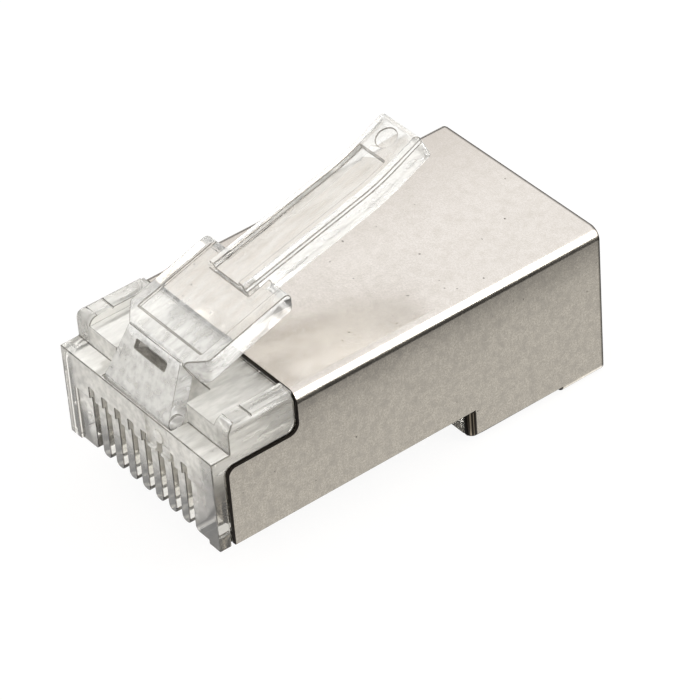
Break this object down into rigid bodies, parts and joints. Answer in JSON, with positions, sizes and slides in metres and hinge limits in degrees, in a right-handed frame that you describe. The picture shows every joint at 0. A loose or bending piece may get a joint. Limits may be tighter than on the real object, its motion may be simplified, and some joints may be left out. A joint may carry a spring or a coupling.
{
  "type": "rj45 modular plug",
  "caption": "Shielded modular plug: clear moulded housing with a sprung latch, folded metal shield and a row of insulation-piercing contact blades, open at the rear for a round cable.",
  "frame": {"origin": "middle of the nose's lower front edge, on the contact side: the datum that the mating jack is dimensioned from", "axes": "+Y back from the nose to the cable entry, +Z from the contact side up to the latch, +X across the plug"},
  "size_m": [0.0116, 0.0226, 0.0146],
  "materials": {
    "clear_plastic": "clear injection-moulded polycarbonate, polished",
    "plated_sheet": "tin-plated steel strip, satin",
    "contact_metal": "phosphor bronze blade, nickel-plated with gold on the contact edge"
  },
  "bodies": {
    "plug": {"housing": "clear_plastic", "shield": "plated_sheet", "contact_1": "contact_metal", "contact_2": "contact_metal", "contact_3": "contact_metal", "contact_4": "contact_metal", "contact_5": "contact_metal", "contact_6": "contact_metal", "contact_7": "contact_metal", "contact_8": "contact_metal"},
    "latch": {"latch": "clear_plastic"}
  },
  "joints": [
    {"name": "latch_press", "type": "hinge", "parent": "plug", "child": "latch", "pos_m": [0, 0.00058, 0.00515], "axis": [-1, 0, 0], "range_deg": [0, 13], "stiffness_Nm_per_rad": 0.05}
  ]
}
